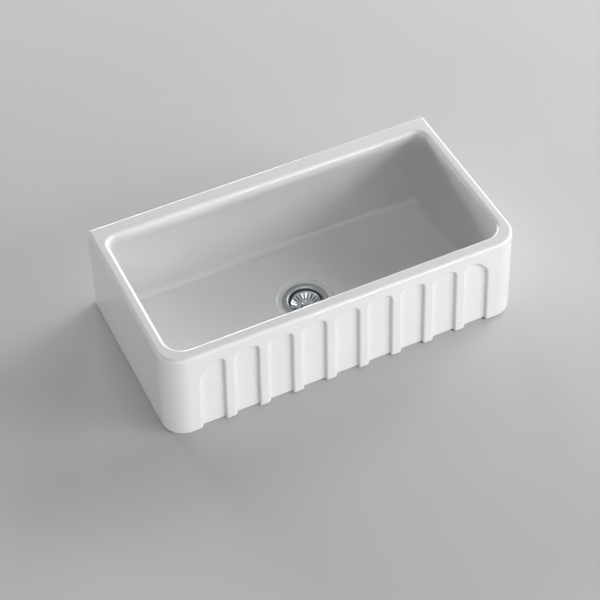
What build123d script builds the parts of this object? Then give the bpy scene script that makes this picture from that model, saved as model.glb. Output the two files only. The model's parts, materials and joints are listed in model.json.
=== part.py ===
from build123d import *
import os
from math import cos, pi, radians, sin

# Farmhouse apron front sink: one fireclay bowl with a fluted front, and a 90 mm basket waste.
# Millimetres. The origin is the centre of the bowl's footprint, on the plane that it stands on.
# X runs along the sink, the apron front faces -Y, and Z is up.

# ---- fireclay bowl, outside -------------------------------------------------------------------
width = 914.0                 # over the foot of the two ends
depth = 488.0                 # from the apron front to the foot of the back
height = 250.0                # from the underside to the rim
end_lean = 6.0                # each end leans in by this much from foot to rim
back_lean = 6.0               # so does the back; the apron front is upright
front_corner_r = 56.0         # upright corners beside the apron
back_corner_r = 6.0           # upright corners beside the wall
rim_outer_r = 8.0             # rounding of the rim's outer edge
foot_r = 3.0                  # rounding of the foot's outer edge

# ---- fireclay bowl, inside --------------------------------------------------------------------
end_rim = 29.0                # rim's width at the two ends
front_rim = 33.5              # rim's width above the apron
back_rim = 44.0               # rim's width at the back
end_wall_draft = 10.0         # each end wall comes in by this much from rim to floor
front_wall_draft = 5.5
back_wall_draft = 6.0
inner_front_corner_r = 44.0
inner_back_corner_r = 28.0
floor_cove_r = 18.0           # where the walls run into the floor
rim_inner_r = 10.0            # rounding of the rim's inner edge
floor_thickness = 27.0        # at the walls
floor_fall = 1.5              # the floor drops by this much towards the waste
floor_fall_r = 180.0          # radius where that drop begins
waste_recess_r = 70.5         # shallow round recess in the floor, which the flange sits in
waste_recess_depth = 3.0
waste_recess_edge_r = 2.0
waste_hole_r = 45.5
under_recess_r = 64.0         # ground recess in the underside for the lower seal
under_recess_depth = 3.0

# ---- flutes in the apron ----------------------------------------------------------------------
flute_count = 9
flute_pitch = 86.0
flute_width = 56.0
flute_depth = 9.5
flute_top_gap = 33.0          # from the flutes' tops to the rim
flute_shoulder_r = 16.0       # round upper corners
flute_cove_r = 3.0            # hollow corner along the flute's bed
flute_edge_r = 6.0            # rounding of the ribs' edges
end_shoulder_drop = 33.0      # outer upper corner of the first and last flutes slopes by this much
end_shoulder_r = 9.0
cutter_margin = 8.0           # how far a flute's cutting body reaches past the face and the foot

# ---- waste fitting ----------------------------------------------------------------------------
sheet = 1.2                   # pressed stainless steel of the strainer cup
flange_r = 57.0
flange_flat_r = 47.0          # the flange is flat out from here and slopes in to the cup
flange_slope_drop = 2.2
cup_r = 41.8                  # inside of the strainer cup
cup_seat_z = -2.0             # ledge that the stopper closes on
cup_seat_r = 24.0             # inner edge of that ledge
sump_floor_r = 22.5
sump_floor_z = -13.0
cup_bend_r = 4.0
ledge_bend_r = 2.5
sump_hole_count = 6
sump_hole_r = 4.2
sump_hole_ring_r = 15.0
flange_seal_thickness = 1.0
flange_seal_bore_r = 48.5     # under the flat part of the flange
seal_margin = 1.0             # the flange seal stays this far inside the flange's edge
under_seal_bore_r = 46.0
under_seal_r = 56.0
under_seal_thickness = 2.5    # squeezed between the recess and the outlet body

body_flange_r = 57.0          # plastic outlet body under the sink
body_flange_thickness = 5.0
body_bore_r = 44.8
body_wall = 3.2
body_straight = 10.5          # depth of its straight upper part
funnel_depth = 22.0           # from there down to the outlet
outlet_bore_r = 20.0
outlet_r = 23.9               # over the outlet's screw thread
outlet_length = 24.0
hub_r = 10.5                  # centre boss that holds the brass insert
hub_length = 22.0
hub_arm_count = 4
hub_arm_thickness = 3.0
insert_r = 7.0
insert_length = 19.0
thread_gap = 0.1              # radial gap where one piece is screwed or pressed in another

screw_r = 5.0                 # clamp screw's shank
screw_length = 19.0           # shank below the cup's floor
screw_head_r = 9.0
screw_head_height = 3.5
screw_washer_thickness = 1.0
screw_washer_rim = 0.6        # the washer shows this much round the head
guide_bore_depth = 17.0       # blind bore in the clamp screw that guides the basket's stem
running_gap = 0.05            # radial gap of the turning and sliding fits
grip_ring_wire_r = 0.85       # round section of the rubber ring that grips the stem
grip_ring_cover = 0.85        # steel left over the ring's groove
groove_end_gap = 0.05

# ---- basket -----------------------------------------------------------------------------------
basket_sheet = 0.8
basket_rim_r = 38.3
basket_rim_z = 17.0
basket_floor_z = 7.0
basket_floor_r = 22.0         # where the floor bends into the slotted wall
basket_wall_r = 35.6          # where the wall bends up into the rim
basket_wall_z = 13.4
basket_floor_bend_r = 12.0
basket_rim_bend_r = 4.0
slot_count = 20
slot_width = 3.2
slot_inner_r = 21.0
slot_outer_r = 34.6
knob_r = 11.5
knob_neck_r = 5.5
knob_foot_r = 7.5
knob_height = 7.0
knob_head_thickness = 4.2
knob_dish = 1.6               # hollow in the knob's top
knob_edge_r = 1.2
stem_thread_r = 3.0
stem_pin_r = 2.5
stem_end_gap = 1.5            # between the stem's end and the bottom of its guide bore
knob_socket_cover = 1.6       # metal left over the stem's end in the knob
carrier_top_r = 15.0          # plastic boss between the basket and its stopper
carrier_bottom_r = 25.0
carrier_rim = 1.5
stopper_r = 29.0
stopper_thickness = 3.0
stopper_edge_r = 1.0
stopper_lift = 0.2            # gap left between the closed stopper and its ledge
stopper_washer_r = 12.0
stopper_washer_thickness = 1.0
nut_across_flats = 10.0
nut_thickness = 3.0
stem_chamfer = 0.5

# ---- tailpiece --------------------------------------------------------------------------------
tail_r = 20.0                 # 40 mm waste pipe
tail_wall = 1.8
tail_length = 72.0
tail_collar_r = 20.8          # thicker root of the pipe, inside the coupling nut
tail_collar_past = 4.0        # it ends this far below the nut
tail_flange_r = 23.4
tail_flange_thickness = 2.0
outlet_washer_thickness = 2.0
nut_r = 30.0
nut_lip = 4.0                 # inward lip that pulls the tailpiece up
nut_thread_length = 16.0
nut_grip_count = 12
nut_grip_r = 2.6
nut_chamfer = 1.2

# ---- places worked out from the sizes above ----------------------------------------------------
front_y = -depth / 2
back_y = depth / 2
rim_back_y = back_y - back_lean
rim_half_width = width / 2 - end_lean
mouth_half_width = rim_half_width - end_rim
mouth_front_y = front_y + front_rim
mouth_back_y = rim_back_y - back_rim
waste_y = (mouth_front_y + mouth_back_y) / 2      # the waste is in the middle of the bowl
recess_floor_z = floor_thickness - floor_fall - waste_recess_depth
flange_under_z = recess_floor_z + flange_seal_thickness
flange_top_z = flange_under_z + sheet
body_top_z = under_recess_depth - under_seal_thickness
body_shoulder_z = body_top_z - body_straight
outlet_top_z = body_shoulder_z - funnel_depth
outlet_end_z = outlet_top_z - outlet_length
sump_under_z = sump_floor_z - sheet
insert_bottom_z = sump_under_z - insert_length
screw_seat_z = sump_floor_z + screw_washer_thickness
screw_top_z = screw_seat_z + screw_head_height
guide_r = stem_pin_r + running_gap
grip_ring_mid_r = guide_r + grip_ring_wire_r
grip_ring_z = screw_top_z - grip_ring_cover - groove_end_gap - grip_ring_wire_r
stopper_under_z = cup_seat_z + stopper_lift
stopper_top_z = stopper_under_z + stopper_thickness
stopper_washer_z = stopper_under_z - stopper_washer_thickness
stem_nut_z = stopper_washer_z - nut_thickness
stem_end_z = screw_top_z - guide_bore_depth + stem_end_gap
basket_under_z = basket_floor_z - basket_sheet
washer_bottom_z = outlet_end_z - outlet_washer_thickness
tail_flange_z = washer_bottom_z - tail_flange_thickness
nut_bottom_z = tail_flange_z - nut_lip
tail_collar_z = nut_bottom_z - tail_collar_past
lift_travel = height - stem_end_z + cutter_margin  # takes the basket clear of the rim

parts = {}


def pick(solid, axis, low, high):
    """Edges of a solid whose middle lies between two places along an axis."""
    return solid.edges().filter_by_position(axis, low, high)


def turned(points):
    """Solid of revolution about the waste's axis from (radius, z) points."""
    face = make_face(Polyline(*[(r, 0, z) for r, z in points], close=True))
    return Pos(0, waste_y, 0) * revolve(face, Axis.Z)


def ring(inner_r, outer_r, low, high):
    """Plain ring about the waste's axis."""
    return turned([(inner_r, low), (outer_r, low), (outer_r, high), (inner_r, high)])


def disc(radius, low, high):
    """Plain disc about the waste's axis."""
    return Pos(0, waste_y, low) * extrude(Circle(radius), high - low)


def pressed_sheet(points, radii, thickness):
    """Pressed sheet metal about the waste's axis: its upper face follows (radius, z) points with
    rounded bends, and the thickness lies below it."""
    upper = FilletPolyline(*[(r, z) for r, z in points], radius=radii)
    section = make_face(offset(upper, thickness, side=Side.LEFT))
    return Pos(0, waste_y, 0) * revolve(Plane.XZ * section, Axis.Z)


def prism_x(points, low, high):
    """Upright (y, z) outline carried along X."""
    face = make_face(Polyline(*[(low, y, z) for y, z in points], close=True))
    return extrude(face, high - low, dir=(1, 0, 0))


def prism_y(points, low, high):
    """Upright (x, z) outline carried along Y."""
    face = make_face(Polyline(*[(x, low, z) for x, z in points], close=True))
    return extrude(face, high - low, dir=(0, 1, 0))


def upright_edges(solid, x_reach, y_low, y_high):
    """The upright corner edges of a four-sided block, in front or behind."""
    edges = [e for e in solid.edges() if abs(e.tangent_at(0.5).Z) > 0.9]
    return [e for e in edges if y_low < e.center().Y < y_high and abs(e.center().X) < x_reach]


# ---- bowl --------------------------------------------------------------------------------------
def outer_block():
    """Leaning ends and back, upright front, rounded corners, rim and foot."""
    ends = [(-width / 2, 0), (width / 2, 0), (rim_half_width, height), (-rim_half_width, height)]
    sides = [(front_y, 0), (back_y, 0), (rim_back_y, height), (front_y, height)]
    block = prism_y(ends, front_y, back_y) & prism_x(sides, -width / 2, width / 2)
    block = fillet(upright_edges(block, width, front_y - 1, 0), front_corner_r)
    block = fillet(upright_edges(block, width, back_y - depth / 8, back_y + 1), back_corner_r)
    block = fillet(block.faces().sort_by(Axis.Z)[0].edges(), foot_r)
    return fillet(block.faces().sort_by(Axis.Z)[-1].edges(), rim_outer_r)


def basin_void():
    """The space inside the bowl, down to the floor."""
    top = height + cutter_margin
    over = cutter_margin / (height - floor_thickness)
    half_low = mouth_half_width - end_wall_draft
    half_high = mouth_half_width + end_wall_draft * over
    front_low = mouth_front_y + front_wall_draft
    front_high = mouth_front_y - front_wall_draft * over
    back_low = mouth_back_y - back_wall_draft
    back_high = mouth_back_y + back_wall_draft * over
    low = floor_thickness
    ends = [(-half_low, low), (half_low, low), (half_high, top), (-half_high, top)]
    sides = [(front_low, low), (back_low, low), (back_high, top), (front_high, top)]
    void = prism_y(ends, front_high, back_high) & prism_x(sides, -half_high, half_high)
    void = fillet(upright_edges(void, width, front_high - 1, 0), inner_front_corner_r)
    void = fillet(upright_edges(void, width, back_low - depth / 8, back_high + 1), inner_back_corner_r)
    return fillet(void.faces().sort_by(Axis.Z)[0].edges(), floor_cove_r)


def flute_outline(outer_side):
    """Flute seen from the front, centred on x = 0. The first and last flutes have a sloping
    outer shoulder: outer_side is -1 or 1 for them, and 0 for the rest."""
    half = flute_width / 2
    top = height - flute_top_gap
    foot = -cutter_margin
    points = [(-half, foot), (half, foot)]
    for side in (1, -1):
        if side == outer_side:
            shoulder = [(side * half, top - end_shoulder_drop), (side * (half - end_shoulder_drop), top)]
            points += shoulder if side > 0 else shoulder[::-1]
        else:
            points.append((side * half, top))
    face = make_face(Polyline(*points, close=True))
    corners = face.vertices().filter_by_position(Axis.Y, top - end_shoulder_drop - 1, top + 1)
    sloped = [v for v in corners if outer_side and v.X * outer_side > -half + 1]
    square = [v for v in corners if v not in sloped]
    if sloped:
        face = fillet(sloped, end_shoulder_r)
        square = [v for v in face.vertices() if abs(v.Y - top) < 0.01 and abs(abs(v.X) - half) < 0.01]
    return fillet(square, flute_shoulder_r)


def flute_cutter(outer_side):
    """Body that leaves one flute: hollow corners along the bed, rounded edges at the mouth."""
    outline = Plane.XZ * flute_outline(outer_side)
    groove = Pos(0, front_y + flute_depth, 0) * extrude(outline, flute_depth + cutter_margin, dir=(0, -1, 0))
    bed = groove.faces().sort_by(Axis.Y)[-1]
    bed_edges = [e for e in bed.edges() if e.center().Z > -cutter_margin + 0.5]
    groove = fillet(bed_edges, flute_cove_r)
    slab_half = flute_width / 2 + cutter_margin
    slab_top = height - flute_top_gap + cutter_margin
    corners = [(-slab_half, -cutter_margin), (slab_half, -cutter_margin), (slab_half, slab_top),
               (-slab_half, slab_top)]
    cutter = prism_y(corners, front_y - cutter_margin, front_y) + groove
    mouth = [e for e in pick(cutter, Axis.Y, front_y - 0.01, front_y + 0.01)
             if abs(e.center().X) < slab_half - 1 and -cutter_margin + 0.5 < e.center().Z < slab_top - 1]
    return fillet(mouth, flute_edge_r)


def make_bowl():
    """One fireclay casting: block, basin, waste hole and flutes."""
    bowl = outer_block() - basin_void()
    lip = bowl.faces().filter_by(Axis.Z).sort_by(Axis.Z)[-1].inner_wires()[0].edges()
    bowl = fillet(lip, rim_inner_r)
    low_z = floor_thickness - floor_fall
    bowl -= turned([(0, low_z), (waste_recess_r, low_z), (floor_fall_r, floor_thickness),
                    (floor_fall_r, floor_thickness + 1), (0, floor_thickness + 1)])
    recess = disc(waste_recess_r, recess_floor_z, floor_thickness)
    bowl -= fillet(recess.edges().sort_by(Axis.Z)[0], waste_recess_edge_r)
    bowl -= disc(waste_hole_r, -1, floor_thickness)
    bowl -= disc(under_recess_r, -1, under_recess_depth)
    for i in range(flute_count):
        outer_side = {0: -1, flute_count - 1: 1}.get(i, 0)
        x = (i - (flute_count - 1) / 2) * flute_pitch
        bowl -= Pos(x, 0, 0) * flute_cutter(outer_side)
    return bowl


parts["bowl"] = make_bowl()


# ---- strainer cup and seals ---------------------------------------------------------------------
def make_strainer_cup():
    """Pressed cup with its flange, the stopper's ledge and a sump with drain holes."""
    path = [(flange_r, flange_top_z), (flange_flat_r, flange_top_z),
            (cup_r, flange_top_z - flange_slope_drop), (cup_r, cup_seat_z), (cup_seat_r, cup_seat_z),
            (sump_floor_r, sump_floor_z), (screw_r + thread_gap, sump_floor_z)]
    bends = [cup_bend_r, ledge_bend_r, cup_bend_r, ledge_bend_r, ledge_bend_r]
    cup = pressed_sheet(path, bends, sheet)
    hole = Pos(0, waste_y, sump_under_z - 1) * extrude(Circle(sump_hole_r), sheet + 2)
    for i in range(sump_hole_count):
        angle = radians(360 / sump_hole_count * i)
        cup -= Pos(sump_hole_ring_r * cos(angle), sump_hole_ring_r * sin(angle), 0) * hole
    return cup


parts["strainer_cup"] = make_strainer_cup()
parts["flange_seal"] = ring(flange_seal_bore_r, flange_r - seal_margin, recess_floor_z, flange_under_z)
parts["under_seal"] = ring(under_seal_bore_r, under_seal_r, body_top_z, under_recess_depth)


# ---- outlet body under the sink -----------------------------------------------------------------
def make_waste_body():
    """Moulded funnel with a flange under the sink and a threaded outlet."""
    wall_r = body_bore_r + body_wall
    funnel_out = [(wall_r, body_shoulder_z), (outlet_r, outlet_top_z), (outlet_r, outlet_end_z)]
    funnel_in = [(outlet_bore_r, outlet_end_z), (outlet_bore_r, outlet_top_z),
                 (body_bore_r, body_shoulder_z), (body_bore_r, body_top_z)]
    flange = [(body_flange_r, body_top_z), (body_flange_r, body_top_z - body_flange_thickness),
              (wall_r, body_top_z - body_flange_thickness)]
    return turned(flange + funnel_out + funnel_in)


def make_waste_hub():
    """Hub that takes the clamp screw, on arms that end in the funnel's wall. It is moulded in one
    with the funnel, and is a node of its own so that the ways between its arms stay open."""
    funnel_space = turned([(0, body_shoulder_z), (body_bore_r, body_shoulder_z),
                           (outlet_bore_r, outlet_top_z), (outlet_bore_r, outlet_end_z),
                           (0, outlet_end_z)])
    arm_top = sump_under_z - hub_arm_thickness
    arm_bottom = sump_under_z - hub_length
    hub = disc(hub_r, arm_bottom, sump_under_z)
    arm = Box(2 * body_bore_r, hub_arm_thickness, arm_top - arm_bottom)
    for i in range(hub_arm_count // 2):
        turn = Rot(0, 0, 360 / hub_arm_count * i + 45)
        hub += (Pos(0, waste_y, (arm_top + arm_bottom) / 2) * turn * arm) & funnel_space
    return hub - disc(insert_r + thread_gap, insert_bottom_z, sump_under_z)


parts["waste_body"] = make_waste_body()
parts["waste_hub"] = make_waste_hub()
parts["screw_insert"] = ring(screw_r + thread_gap, insert_r, insert_bottom_z, sump_under_z)


# ---- clamp screw and what it holds --------------------------------------------------------------
def make_clamp_screw():
    """Flat-headed screw with a blind guide bore and a groove near its mouth for the grip ring."""
    groove_r = grip_ring_mid_r + grip_ring_wire_r + running_gap
    groove_half = grip_ring_wire_r + groove_end_gap
    head = disc(screw_head_r, screw_seat_z, screw_top_z)
    head = chamfer(head.edges().sort_by(Axis.Z)[-1], stem_chamfer)
    screw = head + disc(screw_r, sump_under_z - screw_length + 1, screw_seat_z)
    screw -= disc(guide_r, screw_top_z - guide_bore_depth, screw_top_z)
    return screw - disc(groove_r, grip_ring_z - groove_half, grip_ring_z + groove_half)


parts["clamp_screw"] = make_clamp_screw()
parts["screw_washer"] = ring(screw_r + thread_gap, screw_head_r + screw_washer_rim,
                             sump_floor_z, screw_seat_z)
parts["grip_ring"] = Pos(0, waste_y, grip_ring_z) * Torus(grip_ring_mid_r, grip_ring_wire_r)


# ---- basket -------------------------------------------------------------------------------------
def make_basket_cup():
    """Shallow polished dish with radial slots in its curved wall."""
    path = [(basket_rim_r, basket_rim_z), (basket_wall_r, basket_wall_z),
            (basket_floor_r, basket_floor_z), (stem_thread_r + thread_gap, basket_floor_z)]
    cup = pressed_sheet(path, [basket_rim_bend_r, basket_floor_bend_r], basket_sheet)
    slot = SlotOverall(slot_outer_r - slot_inner_r, slot_width)
    cut = Pos((slot_inner_r + slot_outer_r) / 2, 0, basket_under_z - 1) * extrude(slot, basket_rim_z)
    for i in range(slot_count):
        cup -= Pos(0, waste_y, 0) * Rot(0, 0, 360 / slot_count * i) * cut
    return cup


def make_knob():
    """Turned knob: foot, waist, and a round head with a hollow top."""
    top_z = basket_floor_z + knob_height
    head_z = top_z - knob_head_thickness
    waist_z = (basket_floor_z + head_z) / 2
    knob = turned([(0, basket_floor_z), (knob_foot_r, basket_floor_z), (knob_neck_r, waist_z),
                   (knob_r, head_z), (knob_r, top_z), (0, top_z)])
    knob = fillet(pick(knob, Axis.Z, head_z - 0.01, top_z + 0.01), knob_edge_r)
    hollow_r = knob_r - 2 * knob_edge_r
    ball_r = (hollow_r ** 2 + knob_dish ** 2) / (2 * knob_dish)
    knob -= Pos(0, waste_y, top_z - knob_dish + ball_r) * Sphere(ball_r)
    socket_top = top_z - knob_dish - knob_socket_cover
    return knob - disc(stem_thread_r + thread_gap, basket_floor_z - 1, socket_top)


def make_stem():
    """Threaded above, a smooth guide pin below."""
    step_z = stem_nut_z - stem_chamfer
    top_z = basket_floor_z + knob_height - knob_dish - knob_socket_cover - thread_gap
    pin = disc(stem_pin_r, stem_end_z, step_z)
    pin = chamfer(pin.edges().sort_by(Axis.Z)[0], stem_chamfer)
    return pin + disc(stem_thread_r, step_z, top_z)


def make_seal_carrier():
    """Moulded boss that spreads the stem's pull over the stopper."""
    bore_r = stem_thread_r + thread_gap
    rim_z = stopper_top_z + carrier_rim
    return turned([(bore_r, stopper_top_z), (carrier_bottom_r, stopper_top_z), (carrier_bottom_r, rim_z),
                   (carrier_top_r, basket_under_z), (bore_r, basket_under_z)])


def make_stopper():
    """Rubber disc that closes on the cup's ledge."""
    rubber = disc(stopper_r, stopper_under_z, stopper_top_z)
    rubber = fillet(rubber.edges(), stopper_edge_r)
    return rubber - disc(stem_thread_r + thread_gap, stopper_under_z - 1, stopper_top_z + 1)


def make_stem_nut():
    """Thin hexagon nut."""
    across_corners = nut_across_flats / cos(pi / 6)
    nut = Pos(0, waste_y, stem_nut_z) * extrude(RegularPolygon(across_corners / 2, 6), nut_thickness)
    return nut - disc(stem_thread_r + thread_gap, stem_nut_z - 1, stopper_washer_z + 1)


parts["basket_cup"] = make_basket_cup()
parts["basket_knob"] = make_knob()
parts["basket_stem"] = make_stem()
parts["seal_carrier"] = make_seal_carrier()
parts["stopper_seal"] = make_stopper()
parts["stopper_washer"] = ring(stem_thread_r + thread_gap, stopper_washer_r, stopper_washer_z,
                               stopper_under_z)
parts["stem_nut"] = make_stem_nut()


# ---- tailpiece and its coupling -----------------------------------------------------------------
def make_tailpiece():
    """Flanged length of 40 mm waste pipe."""
    bore_r = tail_r - tail_wall
    end_z = washer_bottom_z - tail_length
    return turned([(bore_r, end_z), (tail_r, end_z), (tail_r, tail_collar_z),
                   (tail_collar_r, tail_collar_z), (tail_collar_r, tail_flange_z),
                   (tail_flange_r, tail_flange_z), (tail_flange_r, washer_bottom_z),
                   (bore_r, washer_bottom_z)])


def make_coupling_nut():
    """Ribbed nut that runs on the outlet's thread and pulls the tailpiece up by its flange."""
    thread_r = outlet_r + thread_gap
    top_z = outlet_end_z + nut_thread_length
    nut = disc(nut_r, nut_bottom_z, top_z)
    nut = chamfer(nut.edges(), nut_chamfer)
    grip = Pos(nut_r, 0, nut_bottom_z - 1) * extrude(Circle(nut_grip_r), top_z - nut_bottom_z + 2)
    for i in range(nut_grip_count):
        nut -= Pos(0, waste_y, 0) * Rot(0, 0, 360 / nut_grip_count * i) * grip
    nut -= disc(thread_r, tail_flange_z, top_z + 1)
    return nut - disc(tail_collar_r + thread_gap, nut_bottom_z - 1, tail_flange_z)


parts["outlet_washer"] = ring(outlet_bore_r, tail_flange_r, washer_bottom_z, outlet_end_z)
parts["tailpiece"] = make_tailpiece()
parts["coupling_nut"] = make_coupling_nut()


os.makedirs("parts", exist_ok=True)
for name, solid in parts.items():
    export_step(solid, f"parts/{name}.step")
print("nodes", len(parts), "basket travel", round(lift_travel, 1), "stem end", round(stem_end_z, 2))
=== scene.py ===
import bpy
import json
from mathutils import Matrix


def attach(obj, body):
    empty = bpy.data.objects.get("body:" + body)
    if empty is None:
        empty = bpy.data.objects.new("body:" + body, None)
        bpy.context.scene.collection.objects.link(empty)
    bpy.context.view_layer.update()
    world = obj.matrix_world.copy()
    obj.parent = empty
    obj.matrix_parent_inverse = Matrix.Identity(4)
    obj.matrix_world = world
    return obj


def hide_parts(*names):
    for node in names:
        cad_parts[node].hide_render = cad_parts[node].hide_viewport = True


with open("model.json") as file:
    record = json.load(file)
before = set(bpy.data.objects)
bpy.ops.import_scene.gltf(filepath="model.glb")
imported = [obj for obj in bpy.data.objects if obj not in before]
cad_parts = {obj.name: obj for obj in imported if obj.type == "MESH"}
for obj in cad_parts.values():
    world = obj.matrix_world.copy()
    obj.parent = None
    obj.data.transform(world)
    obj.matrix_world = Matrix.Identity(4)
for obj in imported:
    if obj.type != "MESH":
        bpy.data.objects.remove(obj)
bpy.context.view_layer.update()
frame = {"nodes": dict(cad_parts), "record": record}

import json
from math import pi, radians, sqrt

import bpy
import numpy as np
from mathutils import Euler, Matrix, Vector

# Farmhouse apron front sink: a glazed fireclay bowl with a fluted front, and a basket waste.
# Shapes are worked out in millimetres in the CAD frame and put into the meshes in metres.
MM = 0.001

# ---- sizes of the fireclay bowl ------------------------------------------------------------------
WIDTH, DEPTH, HEIGHT = 914.0, 488.0, 250.0
END_LEAN, BACK_LEAN = 6.0, 6.0
OUTER_FRONT_R, OUTER_BACK_R = 56.0, 6.0
RIM_R, FOOT_R = 8.0, 3.0
END_RIM, FRONT_RIM, BACK_RIM = 29.0, 33.5, 44.0
END_DRAFT, FRONT_DRAFT, BACK_DRAFT = 10.0, 5.5, 6.0
INNER_FRONT_R, INNER_BACK_R = 44.0, 28.0
COVE_R, LIP_R = 18.0, 10.0
FLOOR_Z = 27.0
FALL, FALL_R = 1.5, 176.0
RECESS_R, RECESS_DEPTH, RECESS_TURN = 70.5, 3.0, radians(50)
HOLE_R, HOLE_LIP = 45.5, 1.2
UNDER_R, UNDER_DEPTH = 64.0, 3.0
FRONT_Y = -DEPTH / 2
WASTE_Y = (FRONT_Y + FRONT_RIM + DEPTH / 2 - BACK_LEAN - BACK_RIM) / 2
MOUTH_HALF = WIDTH / 2 - END_LEAN - END_RIM
MOUTH_FRONT, MOUTH_BACK = FRONT_Y + FRONT_RIM, DEPTH / 2 - BACK_LEAN - BACK_RIM

# ---- sizes of the flutes --------------------------------------------------------------------------
FLUTES, PITCH, HALF_FLUTE, FLUTE_DEPTH = 9, 86.0, 28.0, 9.5
FLUTE_TOP = HEIGHT - 38.0
FLUTE_LEAN = 10.0                     # how far the apron's columns would close up at its very end
FLUTE_COVE, STEEPEST = 3.0, radians(86)
SPARE_TURN = 0.02                     # leaves a sliver of slope between two arcs that would meet
CRISP_EDGE, TOP_EDGE, SOFT_EDGE = 4.5, 8.0, 12.0     # roundings of a flute's right, top and left edges
SHOULDER_R, END_SHOULDER_R, SHOULDER_DROP = 16.0, 9.0, 33.0
FIXED_X = 386.0                       # inside this, the apron's columns lean evenly with its flutes

# ---- steps of the mesh ----------------------------------------------------------------------------
ARC_STEPS, SIDE_STEPS, BACK_STEPS = 16, 34, 60
CORNER_STEPS, BED_STEPS, RIB_STEPS, TOP_STEPS = 13, 7, 7, 33
BESIDE = 1.0                          # a close row this far beside a rounding keeps a flat's shading flat


# ---- profiles and loops ----------------------------------------------------------------------------
def turns(count, end=pi / 2):
    """Even angles from 0 to a quarter turn, or to another end."""
    return np.linspace(0, end, count)


def wall_section(edge_r):
    """A flute's wall is the hollow corner's arc, a straight slope and the arc of the rib's edge, of
    radius edge_r. Gives the slope's angle, its width, and how far the edge reaches over the rib."""
    both = FLUTE_COVE + edge_r
    turn = np.minimum(np.arccos(np.maximum((both - FLUTE_DEPTH) / both, 0)) - SPARE_TURN, STEEPEST)
    slope = (FLUTE_DEPTH - both * (1 - np.cos(turn))) / np.tan(turn)
    return turn, slope, both * np.sin(turn) + slope - FLUTE_COVE


def wall_steps(edge_r, hollow_steps=5, edge_steps=10):
    """Offsets across a flute's wall, at even turns of its hollow corner and then of its edge:
    negative over the bed, positive on the rib."""
    turn, _, reach = wall_section(edge_r)
    hollow = -FLUTE_COVE + FLUTE_COVE * np.sin(turns(hollow_steps, turn))
    edge = reach - edge_r * np.sin(turns(edge_steps, turn)[::-1])
    return np.concatenate([hollow, edge])


def outline_distance(x, z, sloped):
    """Signed distance from a flute's outline, negative inside. Its sides, top and shoulder are
    straight lines; a corner of radius r is the circle sqrt(a^2 + b^2) = r about its own centre,
    where a and b are the distances past the two lines through that centre. sloped is -1 or 1 on
    the end flutes, for the side of their sloping shoulder."""
    def corner(a, b, r):
        return np.minimum(np.maximum(a, b), -r) + np.hypot(np.maximum(a + r, 0), np.maximum(b + r, 0))
    top, left, right = z - FLUTE_TOP, -x - HALF_FLUTE, x - HALF_FLUTE
    if not sloped:
        return np.maximum(corner(left, top, SHOULDER_R), corner(right, top, SHOULDER_R))
    outer, inner = (left, right) if sloped < 0 else (right, left)
    slope = (outer + top + SHOULDER_DROP) / sqrt(2)
    return np.maximum.reduce([corner(inner, top, SHOULDER_R), corner(outer, slope, END_SHOULDER_R),
                              corner(slope, top, END_SHOULDER_R)])


def flute_form(x, z):
    """Depth below the apron's face, and relief: 1 on the round edge, -1 in the hollow, 0 elsewhere.
    With d the distance from the nearest outline, the drop is the sum of three: the edge's arc that
    leaves the face, the straight slope and the hollow arc that reaches the bed. The edge's radius
    goes round the flute's upper corners from the left side's to the top's and to the right side's."""
    depth, relief = np.zeros(x.shape), np.zeros(x.shape)
    for i in range(FLUTES):
        sloped = {0: -1, FLUTES - 1: 1}.get(i, 0)
        off = x - (i - (FLUTES - 1) / 2) * PITCH
        d = outline_distance(off, z, sloped)
        radius = np.interp(off, [-HALF_FLUTE, SHOULDER_R - HALF_FLUTE, HALF_FLUTE - SHOULDER_R, HALF_FLUTE],
                           [SOFT_EDGE, TOP_EDGE, TOP_EDGE, CRISP_EDGE])
        turn, slope, reach = wall_section(radius)
        across, into = radius * np.sin(turn), FLUTE_COVE * np.sin(turn)
        near, far = np.clip(reach - d, 0, across), np.clip(d + FLUTE_COVE, 0, into)
        depth += radius - np.sqrt(radius ** 2 - near ** 2)
        depth += np.tan(turn) * np.clip(reach - across - d, 0, slope)
        depth += np.sqrt(FLUTE_COVE ** 2 - far ** 2) - FLUTE_COVE * np.cos(turn)
        relief += np.sin(near / across * pi) - np.sin(far / into * pi)
    return depth, relief


def apron_places():
    """X places across the apron's straight part: even turns over each flute's walls, close together
    where its upper corners curve, few on beds and ribs. Off the apron only every second one is used."""
    near = np.linspace(HALF_FLUTE - SHOULDER_R - FLUTE_COVE, HALF_FLUTE - FLUTE_COVE, CORNER_STEPS)[:-1]
    crisp = np.concatenate([near, HALF_FLUTE + wall_steps(CRISP_EDGE)])
    soft = np.concatenate([near, HALF_FLUTE + wall_steps(SOFT_EDGE)])
    bed = np.linspace(-near[0], near[0], BED_STEPS)[1:-1]
    flute = np.concatenate([-soft[::-1], bed, crisp])
    rib = np.linspace(crisp[-1], PITCH - soft[-1], RIB_STEPS)[1:-1]
    centres = (np.arange(FLUTES) - (FLUTES - 1) / 2) * PITCH
    reach, last = WIDTH / 2 - OUTER_FRONT_R, centres[-1] + soft[-1]
    ends = np.array([last + BESIDE, FIXED_X, reach - 7, reach - 3, reach])
    places = np.concatenate([c + flute for c in centres] + [c + rib for c in centres[:-1]] + [ends, -ends])
    return np.sort(places)


def spaced(count):
    """Shares from 0 to 1, close together at both ends so that flats keep their shading."""
    ends = np.array([0, 0.004, 0.012])
    return np.concatenate([ends, np.linspace(0.03, 0.97, count - 5), 1 - ends[::-1]])


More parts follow.
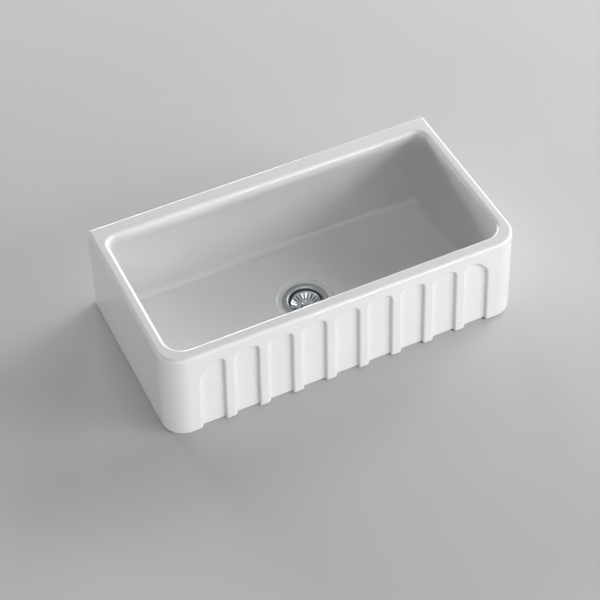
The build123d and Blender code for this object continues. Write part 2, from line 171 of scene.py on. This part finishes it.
def loop(row, places):
    """One closed loop round the bowl, anticlockwise seen from above: the front's places, then the
    corner arcs, sides and back of a rounded rectangle. fixed is 1 where the front's places and the
    flutes stay as on the apron, closing up a little with height as a draft does, and 0 where they
    close up with the row's straight part."""
    half, low, high, front_r, back_r, z, fixed = row
    straight = half - front_r
    reach = places[-1]
    closing = 1 - FLUTE_LEAN * z / HEIGHT / (WIDTH / 2)
    last = FIXED_X * closing
    held = closing * np.minimum(np.abs(places), FIXED_X)
    held = held + np.maximum(np.abs(places) - FIXED_X, 0) * (straight - last) / (reach - FIXED_X)
    x = fixed * np.sign(places) * held + (1 - fixed) * places * straight / reach
    depth, relief = flute_form(places, np.full(len(x), float(z)))
    arc = turns(ARC_STEPS + 1)[1:]
    side = low + front_r + (high - back_r - low - front_r) * spaced(SIDE_STEPS)[1:]
    back = (half - back_r) * (1 - 2 * spaced(BACK_STEPS)[1:])
    right = np.concatenate([
        np.stack([straight + front_r * np.sin(arc), low + front_r - front_r * np.cos(arc)], 1),
        np.stack([np.full(len(side), half), side], 1),
        np.stack([half - back_r + back_r * np.cos(arc), high - back_r + back_r * np.sin(arc)], 1)])
    points = np.concatenate([np.stack([x, low + fixed * depth], 1), right,
                             np.stack([back, np.full(len(back), high)], 1), right[::-1][1:] * [-1, 1]])
    relief = np.concatenate([fixed * relief, np.zeros(len(points) - len(x))])
    return np.column_stack([points, np.full(len(points), z)]), relief


def outside(z, inset=0.0):
    """Row of the outer wall at a height, moved in by an inset."""
    up = z / HEIGHT
    return [WIDTH / 2 - END_LEAN * up - inset, FRONT_Y + inset, DEPTH / 2 - BACK_LEAN * up - inset,
            OUTER_FRONT_R - inset, max(OUTER_BACK_R - inset, 0.5), z, 1]


def inside(z, grow=0.0):
    """Row of the inner wall at a height, moved out by grow."""
    down = (HEIGHT - z) / (HEIGHT - FLOOR_Z)
    return [MOUTH_HALF - END_DRAFT * down + grow, MOUTH_FRONT + FRONT_DRAFT * down - grow,
            MOUTH_BACK - BACK_DRAFT * down + grow, INNER_FRONT_R + grow, INNER_BACK_R + grow, z, 0]


def bowl_rows():
    """Rows from above the flutes over the rim, down the inside, across the floor, through the waste
    hole and back under to the foot. A row is a rounded rectangle, then how far it has become a circle
    about the waste, that circle's radius, its relief, and 1 where no glaze reaches. Roundings are
    circle arcs at even turns, and a close row beside each keeps the flats' shading flat."""
    rows = []

    def take(base, share=0.0, radius=1.0, relief=0.0, bare=0.0, z=None):
        base = list(base)
        base[5] = base[5] if z is None else z
        rows.append((base, share, radius, relief, bare))

    for z in (232, HEIGHT - RIM_R - BESIDE):
        take(outside(z))
    for t in turns(9):
        take(outside(HEIGHT - RIM_R * (1 - np.sin(t)), RIM_R * (1 - np.cos(t))),
             relief=np.sin(2 * t))
    outer, inner = outside(HEIGHT, RIM_R), inside(HEIGHT, LIP_R)
    for s in (0.06, 0.5, 0.94):
        take([(1 - s) * p + s * q for p, q in zip(outer, inner)])
    for t in turns(11):
        take(inside(HEIGHT - LIP_R * (1 - np.cos(t)), LIP_R * (1 - np.sin(t))),
             relief=np.sin(2 * t))
    for z in (HEIGHT - LIP_R - BESIDE, 225, 190, 150, 110, 75, FLOOR_Z + COVE_R + BESIDE):
        take(inside(z))
    for t in turns(11):
        take(inside(FLOOR_Z + COVE_R * (1 - np.sin(t)), -COVE_R * (1 - np.cos(t))),
             relief=-np.sin(2 * t))
    take(inside(FLOOR_Z, -COVE_R - BESIDE))
    low = inside(FLOOR_Z, -COVE_R)
    for share in (0.1, 0.25, 0.45, 0.65, 0.85, 1):
        take(low, share, FALL_R)
    bend = RECESS_DEPTH / 2 / (1 - np.cos(RECESS_TURN))
    edge = bend * np.sin(RECESS_TURN)
    for radius in (172, 150, 120, 95, 80, RECESS_R + edge + BESIDE):
        take(low, 1, radius, z=FLOOR_Z - FALL * (FALL_R - radius) / (FALL_R - RECESS_R - edge))
    top, bed = FLOOR_Z - FALL, FLOOR_Z - FALL - RECESS_DEPTH
    for t in turns(7, RECESS_TURN):
        take(low, 1, RECESS_R + edge - bend * np.sin(t), np.sin(pi * t / RECESS_TURN),
             z=top - bend * (1 - np.cos(t)))
    for t in turns(7, RECESS_TURN)[::-1][1:]:
        take(low, 1, RECESS_R - edge + bend * np.sin(t), -np.sin(pi * t / RECESS_TURN),
             z=bed + bend * (1 - np.cos(t)))
    for radius in (RECESS_R - edge - BESIDE, 58, HOLE_R + HOLE_LIP + BESIDE):
        take(low, 1, radius, z=bed)
    for t in turns(5):
        take(low, 1, HOLE_R + HOLE_LIP * (1 - np.sin(t)), np.sin(2 * t),
             z=bed - HOLE_LIP * (1 - np.cos(t)))
    for z in (bed - HOLE_LIP - BESIDE, 12, UNDER_DEPTH + BESIDE, UNDER_DEPTH):
        take(low, 1, HOLE_R, bare=z < 15, z=z)
    for radius in (HOLE_R + BESIDE, UNDER_R - BESIDE, UNDER_R):
        take(low, 1, radius, bare=1, z=UNDER_DEPTH)
    foot = outside(0, FOOT_R)
    for z in (UNDER_DEPTH - BESIDE, 0):
        take(foot, 1, UNDER_R, bare=1, z=z)
    for share in (0.99, 0.8, 0.6, 0.4, 0.2, 0.02):
        take(foot, share, UNDER_R, bare=1)
    for t in turns(6)[:-1]:
        take(outside(FOOT_R * (1 - np.cos(t)), FOOT_R * (1 - np.sin(t))),
             relief=np.sin(2 * t), bare=1 - np.sin(t))
    return rows


def make_bowl():
    """The casting as one closed surface. The apron has its own close grid of rows and columns; above
    and below it the columns halve in a strip of triangles."""
    dense = apron_places()
    coarse = dense[::2]
    heights = np.concatenate([[FOOT_R, 5, 25, 70, 120, 150, 165],
                              np.linspace(172, FLUTE_TOP - FLUTE_COVE - BESIDE, TOP_STEPS),
                              FLUTE_TOP + wall_steps(TOP_EDGE), [221, 222, 223, 224.5, 226, 229]])
    made = [loop(outside(z), dense) + (0.0,) for z in heights]
    floor_loop = loop(inside(FLOOR_Z, -COVE_R), coarse)[0][:, :2] - [0, WASTE_Y]
    angle = np.arctan2(floor_loop[:, 1], floor_loop[:, 0])
    ray = np.stack([np.cos(angle), np.sin(angle)], 1)
    for base, share, radius, relief, bare in bowl_rows():
        points, own = loop(base, coarse)
        points[:, :2] = (1 - share) * points[:, :2] + share * (radius * ray + [0, WASTE_Y])
        made.append((points, own * (1 - share) + relief, float(bare)))
    starts = np.concatenate([[0], np.cumsum([len(m[0]) for m in made])])
    rings = [np.arange(a, b) for a, b in zip(starts[:-1], starts[1:])]
    wide, slim, top = len(dense), len(coarse), len(heights)

    def strip(low, high):
        return np.stack([low[:-1], low[1:], high[1:], high[:-1]], 1)

    def halving(fine, rough):
        f, c = fine[:wide], rough[:slim]
        three = np.concatenate([np.stack([f[:-2:2], f[1:-1:2], c[:-1]], 1),
                                np.stack([f[1:-1:2], c[1:], c[:-1]], 1),
                                np.stack([f[1:-1:2], f[2::2], c[1:]], 1)])
        return strip(np.append(fine[wide - 1:], fine[0]), np.append(rough[slim - 1:], rough[0])), three

    closed = [np.append(r, r[0]) for r in rings]
    plain = [i for i in range(len(rings) - 1) if i != top - 1]
    quads = np.concatenate([strip(closed[i], closed[i + 1]) for i in plain])
    above, above_three = halving(rings[top - 1], rings[top])
    below, below_three = halving(rings[0], rings[-1])
    quads = np.concatenate([quads, above, below[:, ::-1]])
    tris = np.concatenate([above_three, below_three[:, ::-1]])
    relief = np.concatenate([m[1] for m in made])
    bare = np.concatenate([np.full(len(m[0]), m[2]) for m in made])
    return np.concatenate([m[0] for m in made]), quads, tris, relief, bare


def put_mesh(name, points, faces, body, nodes, material):
    """New piece from points in millimetres, riding on a body in place of CAD nodes."""
    mesh = bpy.data.meshes.new(name)
    mesh.from_pydata((points * MM).tolist(), [], faces)
    mesh.shade_smooth()
    mesh.materials.append(material)
    piece = bpy.data.objects.new(name, mesh)
    bpy.context.scene.collection.objects.link(piece)
    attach(piece, body)
    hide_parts(*nodes)
    return piece


def point_values(piece, name, values):
    """One number for each point of a piece, which its material reads by name."""
    layer = piece.data.attributes.new(name, "FLOAT", "POINT")
    layer.data.foreach_set("value", np.asarray(values, np.float32))


# ---- materials ---------------------------------------------------------------------------------------
def colour(code):
    """sRGB hex colour as linear RGBA."""
    share = np.array([int(code[i:i + 2], 16) for i in (1, 3, 5)]) / 255
    light = np.where(share <= 0.04045, share / 12.92, ((share + 0.055) / 1.055) ** 2.4)
    return (*[float(v) for v in light], 1.0)


def add(tree, kind, values=None, links=None, **settings):
    """One shader node with its own settings. values fill its sockets and links feed them, by name or
    number; a hex code is a colour, and a node stands for its first output in use."""
    made = tree.nodes.new(kind)
    for key, value in settings.items():
        setattr(made, key, value)
    sockets = {s.name: s for s in list(made.inputs)[::-1] if s.enabled} | dict(enumerate(made.inputs))
    for key, value in (values or {}).items():
        sockets[key].default_value = colour(value) if isinstance(value, str) else value
    for key, source in (links or {}).items():
        if isinstance(source, bpy.types.Node):
            source = [s for s in source.outputs if s.enabled][0]
        tree.links.new(source, sockets[key])
    return made


def start(name, **values):
    """Material with a Principled shader; its uniform values sit on the shader's own sockets."""
    made = bpy.data.materials.new(name)
    made.use_nodes = True
    tree = made.node_tree
    tree.nodes.clear()
    shader = add(tree, "ShaderNodeBsdfPrincipled", values)
    add(tree, "ShaderNodeOutputMaterial", links={"Surface": shader})
    place = add(tree, "ShaderNodeTexCoord").outputs["Object"]
    return made, tree, shader, place


def glazed_fireclay():
    """White tin-opacified glaze on fireclay, fired glossy: an even white, a soft orange peel in its
    reflections, paler where it thins on edges, greyer in hollows as painted shade, and a few pin specks. The
    underside is bare ground clay, buff and gritty."""
    made, tree, shader, place = start("glazed_fireclay", IOR=1.53)
    relief = add(tree, "ShaderNodeAttribute", attribute_name="relief").outputs["Fac"]
    bare = add(tree, "ShaderNodeAttribute", attribute_name="bare").outputs["Fac"]
    cloud = add(tree, "ShaderNodeTexNoise", {"Scale": 1 / (140 * MM), "Detail": 2.0}, {"Vector": place})
    cloudy = add(tree, "ShaderNodeMapRange", {"From Min": 0.3, "From Max": 0.7}, {"Value": cloud})
    white = add(tree, "ShaderNodeMix", {"A": "#E8E8E8", "B": "#E5E5E6"}, {"Factor": cloudy}, data_type="RGBA")
    on_edge = add(tree, "ShaderNodeMapRange", {"From Min": 0.1, "From Max": 1.0}, {"Value": relief})
    thin = add(tree, "ShaderNodeMix", {"B": "#EBEBEB"}, {"Factor": on_edge, "A": white}, data_type="RGBA")
    # painted shade: the colour greys in the flutes' hollow corners, the floor's cove and the waste recess
    hollow_shade_mask = add(tree, "ShaderNodeMapRange", {"From Min": -0.1, "From Max": -1.0}, {"Value": relief})
    hollow_shaded = add(tree, "ShaderNodeMix", {"B": "#E2E3E4"}, {"Factor": hollow_shade_mask, "A": thin}, data_type="RGBA")
    # a pin speck of about 0.5 mm in some of the cells of a 16 mm scatter
    cells = add(tree, "ShaderNodeTexVoronoi", {"Scale": 1 / (16 * MM)}, {"Vector": place})
    pin = add(tree, "ShaderNodeMapRange", {"From Min": 0.016, "From Max": 0.03, "To Min": 0.5, "To Max": 0.0},
              {"Value": cells})
    some = add(tree, "ShaderNodeMath", {1: 0.62}, {0: cells.outputs["Color"]}, operation="GREATER_THAN")
    dot = add(tree, "ShaderNodeMath", {}, {0: pin, 1: some}, operation="MULTIPLY")
    specked = add(tree, "ShaderNodeMix", {"B": "#C4BEB4"}, {"Factor": dot, "A": hollow_shaded}, data_type="RGBA")
    grit = add(tree, "ShaderNodeTexNoise", {"Scale": 1 / (1.6 * MM), "Detail": 6.0, "Roughness": 0.7},
               {"Vector": place})
    sandy = add(tree, "ShaderNodeMapRange", {"From Min": 0.3, "From Max": 0.7}, {"Value": grit})
    clay = add(tree, "ShaderNodeMix", {"A": "#CDBFA8", "B": "#E2D8C6"}, {"Factor": sandy}, data_type="RGBA")
    ground = add(tree, "ShaderNodeMapRange", {"From Min": 0.35, "From Max": 0.65}, {"Value": bare})
    skin = add(tree, "ShaderNodeMix", {}, {"Factor": ground, "A": specked, "B": clay}, data_type="RGBA")
    tree.links.new(skin.outputs[2], shader.inputs["Base Color"])
    haze = add(tree, "ShaderNodeTexNoise", {"Scale": 1 / (60 * MM), "Detail": 3.0}, {"Vector": place})
    sheen = add(tree, "ShaderNodeMapRange",
                {"From Min": 0.3, "From Max": 0.7, "To Min": 0.07, "To Max": 0.12}, {"Value": haze})
    rough = add(tree, "ShaderNodeMix", {"B": 0.85}, {"Factor": ground, "A": sheen}, data_type="FLOAT")
    tree.links.new(rough.outputs[0], shader.inputs["Roughness"])
    swell = add(tree, "ShaderNodeTexNoise", {"Scale": 1 / (45 * MM), "Detail": 1.0}, {"Vector": place})
    peel = add(tree, "ShaderNodeTexNoise", {"Scale": 1 / (7 * MM), "Detail": 2.0}, {"Vector": place})
    pits = add(tree, "ShaderNodeMath", {}, {0: grit, 1: ground}, operation="MULTIPLY")
    waves = add(tree, "ShaderNodeBump", {"Distance": 0.12 * MM}, {"Height": swell})
    skin_peel = add(tree, "ShaderNodeBump", {"Distance": 0.012 * MM}, {"Height": peel, "Normal": waves})
    relief_all = add(tree, "ShaderNodeBump", {"Distance": 0.25 * MM}, {"Height": pits, "Normal": skin_peel})
    tree.links.new(relief_all.outputs[0], shader.inputs["Normal"])
    return made


def worked_steel(name, dark, bright, smooth, dull, lathe_depth, scratch_depth):
    """Stainless steel worked on a lathe or polishing wheel: grey metal with lines about its axis,
    drawn about 0.5 mm apart so that they show, and fine cross scratches in the finish."""
    made, tree, shader, place = start(name, Metallic=1.0)
    centred = add(tree, "ShaderNodeMapping", {"Location": (0, -WASTE_Y * MM, 0)}, {"Vector": place})
    parts = add(tree, "ShaderNodeSeparateXYZ", {}, {"Vector": centred})
    flat = add(tree, "ShaderNodeCombineXYZ", {}, {"X": parts.outputs["X"], "Y": parts.outputs["Y"]})
    radius = add(tree, "ShaderNodeVectorMath", {}, {0: flat}, operation="LENGTH").outputs["Value"]
    track = add(tree, "ShaderNodeCombineXYZ", {}, {"X": radius, "Y": parts.outputs["Z"]})
    lines = add(tree, "ShaderNodeTexNoise", {"Scale": 1 / (0.5 * MM), "Detail": 3.0}, {"Vector": track},
                noise_dimensions="2D")
    cloud = add(tree, "ShaderNodeTexNoise", {"Scale": 1 / (9 * MM), "Detail": 4.0, "Roughness": 0.6},
                {"Vector": place})
    cloudy = add(tree, "ShaderNodeMapRange", {"From Min": 0.35, "From Max": 0.65}, {"Value": cloud})
    tone = add(tree, "ShaderNodeMix", {"A": dark, "B": bright}, {"Factor": cloudy}, data_type="RGBA")
    tree.links.new(tone.outputs[2], shader.inputs["Base Color"])
    sheen = add(tree, "ShaderNodeMapRange",
                {"From Min": 0.3, "From Max": 0.7, "To Min": smooth, "To Max": dull}, {"Value": cloud})
    tree.links.new(sheen.outputs[0], shader.inputs["Roughness"])
    turned = add(tree, "ShaderNodeMapping", {"Scale": (1, 0.06, 1), "Rotation": (0, 0, radians(35))},
                 {"Vector": place})
    scratch = add(tree, "ShaderNodeTexNoise", {"Scale": 1 / (0.35 * MM), "Detail": 2.0}, {"Vector": turned})
    grooves = add(tree, "ShaderNodeBump", {"Distance": lathe_depth * MM}, {"Height": lines})
    marks = add(tree, "ShaderNodeBump", {"Distance": scratch_depth * MM},
                {"Height": scratch, "Normal": grooves})
    tree.links.new(marks.outputs[0], shader.inputs["Normal"])
    return made


def moulded_rubber(name, base, bloom):
    """Moulded nitrile rubber: near-black and matt, with a grey bloom and a fine grain."""
    made, tree, shader, place = start(name, IOR=1.52)
    cloud = add(tree, "ShaderNodeTexNoise", {"Scale": 1 / (6 * MM), "Detail": 4.0, "Roughness": 0.6},
                {"Vector": place})
    cloudy = add(tree, "ShaderNodeMapRange", {"From Min": 0.4, "From Max": 0.75}, {"Value": cloud})
    tone = add(tree, "ShaderNodeMix", {"A": base, "B": bloom}, {"Factor": cloudy}, data_type="RGBA")
    tree.links.new(tone.outputs[2], shader.inputs["Base Color"])
    sheen = add(tree, "ShaderNodeMapRange",
                {"From Min": 0.3, "From Max": 0.7, "To Min": 0.55, "To Max": 0.75}, {"Value": cloud})
    tree.links.new(sheen.outputs[0], shader.inputs["Roughness"])
    grain = add(tree, "ShaderNodeTexNoise", {"Scale": 1 / (0.6 * MM), "Detail": 3.0}, {"Vector": place})
    skin = add(tree, "ShaderNodeBump", {"Distance": 0.02 * MM}, {"Height": grain})
    tree.links.new(skin.outputs[0], shader.inputs["Normal"])
    return made


def moulded_plastic(name, base, shade, grain_size):
    """Injection-moulded polypropylene or ABS: a soft sheen, faint clouds where it flowed and a
    spark-eroded grain of fractions of a millimetre."""
    made, tree, shader, place = start(name, IOR=1.49)
    flow = add(tree, "ShaderNodeMapping", {"Scale": (1, 1, 0.3)}, {"Vector": place})
    cloud = add(tree, "ShaderNodeTexNoise", {"Scale": 1 / (14 * MM), "Detail": 3.0}, {"Vector": flow})
    cloudy = add(tree, "ShaderNodeMapRange", {"From Min": 0.35, "From Max": 0.65}, {"Value": cloud})
    tone = add(tree, "ShaderNodeMix", {"A": base, "B": shade}, {"Factor": cloudy}, data_type="RGBA")
    tree.links.new(tone.outputs[2], shader.inputs["Base Color"])
    sheen = add(tree, "ShaderNodeMapRange",
                {"From Min": 0.3, "From Max": 0.7, "To Min": 0.38, "To Max": 0.5}, {"Value": cloud})
    tree.links.new(sheen.outputs[0], shader.inputs["Roughness"])
    grain = add(tree, "ShaderNodeTexNoise", {"Scale": 1 / (grain_size * MM), "Detail": 2.0},
                {"Vector": place})
    skin = add(tree, "ShaderNodeBump", {"Distance": 0.015 * MM}, {"Height": grain})
    tree.links.new(skin.outputs[0], shader.inputs["Normal"])
    return made


def turned_brass():
    """Brass bar turned on a lathe: yellow metal with lines about its axis and a trace of tarnish."""
    made, tree, shader, place = start("turned_brass", Metallic=1.0)
    along = add(tree, "ShaderNodeMapping", {"Scale": (0.02, 0.02, 1)}, {"Vector": place})
    lines = add(tree, "ShaderNodeTexNoise", {"Scale": 1 / (0.4 * MM), "Detail": 2.0}, {"Vector": along})
    cloud = add(tree, "ShaderNodeTexNoise", {"Scale": 1 / (5 * MM), "Detail": 4.0}, {"Vector": place})
    tarnish = add(tree, "ShaderNodeMapRange", {"From Min": 0.4, "From Max": 0.7}, {"Value": cloud})
    tone = add(tree, "ShaderNodeMix", {"A": "#C8A35A", "B": "#A9823F"}, {"Factor": tarnish}, data_type="RGBA")
    tree.links.new(tone.outputs[2], shader.inputs["Base Color"])
    sheen = add(tree, "ShaderNodeMapRange",
                {"From Min": 0.3, "From Max": 0.7, "To Min": 0.22, "To Max": 0.36}, {"Value": cloud})
    tree.links.new(sheen.outputs[0], shader.inputs["Roughness"])
    grooves = add(tree, "ShaderNodeBump", {"Distance": 0.03 * MM}, {"Height": lines})
    tree.links.new(grooves.outputs[0], shader.inputs["Normal"])
    return made


def seen_directly(tree):
    """1 for what the camera sees straight on, in a mirror or through glass, 0 for soft light."""
    ray = add(tree, "ShaderNodeLightPath").outputs
    mirrored = add(tree, "ShaderNodeMath", {}, {0: ray["Is Glossy Ray"], 1: ray["Is Transmission Ray"]},
                   operation="MAXIMUM")
    return add(tree, "ShaderNodeMath", {}, {0: ray["Is Camera Ray"], 1: mirrored}, operation="MAXIMUM")


def matt_floor_paint():
    """Pale matt paint, with clouds so faint that it still looks plain. To the eye and in reflections it
    is pale; what it throws back on the object as soft light is that of a darker floor."""
    made, tree, shader, place = start("matt_floor_paint", Roughness=0.9)
    cloud = add(tree, "ShaderNodeTexNoise", {"Scale": 1 / (400 * MM), "Detail": 2.0}, {"Vector": place})
    tone = add(tree, "ShaderNodeMix", {"A": "#C9CACC", "B": "#C5C6C8"}, {"Factor": cloud}, data_type="RGBA")
    shown = add(tree, "ShaderNodeMix", {"A": "#545454"}, {"Factor": seen_directly(tree), "B": tone},
                data_type="RGBA")
    tree.links.new(shown.outputs[2], shader.inputs["Base Color"])
    return made


glaze = glazed_fireclay()
flange_steel = worked_steel("brushed_stainless_flange", "#8C9193", "#969B9D", 0.36, 0.44, 0.02, 0.006)
bright_steel = worked_steel("polished_stainless_basket", "#A6A9AC", "#B4B7BA", 0.2, 0.28, 0.004, 0.002)
turned_steel = worked_steel("turned_stainless_fixings", "#969593", "#A5A4A2", 0.26, 0.38, 0.03, 0.004)
seal_rubber = moulded_rubber("nitrile_rubber_seals", "#1C1C1C", "#3A3A39")
stopper_rubber = moulded_rubber("nitrile_rubber_stopper", "#242424", "#3E3E3D")
body_plastic = moulded_plastic("polypropylene_waste_body", "#DEDDD8", "#D5D4CF", 0.5)
nut_plastic = moulded_plastic("polypropylene_coupling_nut", "#D6D5D0", "#CDCCC7", 0.5)
pipe_plastic = moulded_plastic("abs_waste_pipe", "#E2E1DC", "#DAD9D4", 0.8)
brass = turned_brass()

finishes = {"satin_steel": flange_steel, "polished_steel": bright_steel, "turned_steel": turned_steel,
            "seal_rubber": seal_rubber, "stopper_rubber": stopper_rubber, "body_plastic": body_plastic,
            "nut_plastic": nut_plastic, "pipe_plastic": pipe_plastic, "brass": brass, "glaze": glaze}

# ---- pieces --------------------------------------------------------------------------------------------
points, quads, tris, relief, bare = make_bowl()
bowl = put_mesh("fireclay_bowl", points, quads.tolist() + tris.tolist(), "sink", ["bowl"], glaze)
point_values(bowl, "relief", relief)
point_values(bowl, "bare", bare)

for entry in frame["record"]["subparts"]:
    carried = frame["nodes"][entry["node"]]
    carried.data.materials.clear()
    carried.data.materials.append(finishes[entry["material_slot"]])


# ---- stage -----------------------------------------------------------------------------------------------
FLOOR_RADII = [0.062, 0.5, 2.0, 30.0]     # metres; the waste fitting hangs through the smallest
FLOOR_SIDES, FLOOR_DROP = 96, 0.0005


def make_floor():
    """Flat ring about the waste, a hair under the foot: radius times the unit circle."""
    angle = np.linspace(0, 2 * pi, FLOOR_SIDES + 1)[:-1]
    unit = np.stack([np.cos(angle), np.sin(angle), np.zeros(FLOOR_SIDES)], 1)
    grid = (np.array(FLOOR_RADII)[:, None, None] * unit + [0, WASTE_Y * MM, -FLOOR_DROP]).reshape(-1, 3)
    here = np.arange(FLOOR_SIDES)
    following = (here + 1) % FLOOR_SIDES
    faces = np.concatenate([
        np.stack([here + inner, here + outer, following + outer, following + inner], 1)
        for inner, outer in [(FLOOR_SIDES * i, FLOOR_SIDES * (i + 1)) for i in range(len(FLOOR_RADII) - 1)]])
    mesh = bpy.data.meshes.new("studio_floor")
    mesh.from_pydata(grid.tolist(), [], faces.tolist())
    ground = bpy.data.objects.new("studio_floor", mesh)
    bpy.context.scene.collection.objects.link(ground)
    return ground


floor = make_floor()
floor.data.materials.append(matt_floor_paint())

world = bpy.data.worlds.new("studio_surround")
bpy.context.scene.world = world
world.use_nodes = True
surround = world.node_tree
surround.nodes["Background"].inputs["Color"].default_value = colour("#F4F5F7")
bright = add(surround, "ShaderNodeMapRange", {"To Min": 0.02, "To Max": 0.75},
             {"Value": seen_directly(surround)})
surround.links.new(bright.outputs[0], surround.nodes["Background"].inputs["Strength"])


def softbox(name, azimuth, height, distance, size, power):
    """Rectangular area lamp aimed at the middle of the bowl, from an azimuth and a height in degrees."""
    lamp = bpy.data.lights.new(name, "AREA")
    lamp.shape = "RECTANGLE"
    lamp.size, lamp.size_y = size
    lamp.energy = power
    aim = Euler((radians(90 - height), 0, radians(azimuth))).to_matrix()
    holder = bpy.data.objects.new(name, lamp)
    holder.matrix_world = Matrix.Translation(Vector(LAMP_AIM) + aim @ Vector((0, 0, distance))) @ aim.to_4x4()
    bpy.context.scene.collection.objects.link(holder)


LAMP_AIM = (0, 0, 0.15)
# azimuth from the front towards the right, height, distance, width and height of the lamp, power
LAMPS = {
    "right_key": (105, 25, 8.0, (3.7, 2.7), 284),
    "right_back_key": (128, 27, 8.0, (5.0, 3.4), 195),
    "front_right_key": (53, 18, 8.0, (3.7, 2.7), 292),
    "front_left_strip": (-20, 3, 5.0, (2.5, 0.4), 84),
    "front_right_strip": (26, 3, 5.0, (2.0, 0.4), 80),
    "left_back_fill": (-102, 3, 5.0, (2.3, 0.5), 66),
    "back_strip": (180, 15, 8.0, (5.0, 1.5), 410),
    "cove_strip": (22, 38, 5.0, (2.2, 0.2), 14),
    "overhead": (0, 85, 5.0, (2.3, 2.3), 32)}
for name, placing in LAMPS.items():
    softbox(name, *placing)


# ---- camera ------------------------------------------------------------------------------------------------
SENSOR_WIDTH, LENS = 36.0, 103.44
VIEWPOINT = (-1.19048, -2.61557, 3.11107)
TO_THE_RIGHT, AHEAD = Vector((0.90119, -0.43283, -0.02251)), Vector((0.27972, 0.62050, -0.73262))

lens = bpy.data.cameras.new("photo_view")
lens.sensor_width = SENSOR_WIDTH
lens.lens = LENS
camera = bpy.data.objects.new("photo_view", lens)
camera.matrix_world = Matrix.Translation(VIEWPOINT) @ Matrix(
    (TO_THE_RIGHT, TO_THE_RIGHT.cross(AHEAD), -AHEAD)).transposed().to_4x4()
bpy.context.scene.collection.objects.link(camera)
bpy.context.scene.camera = camera
bpy.context.scene.view_settings.view_transform = "Standard"
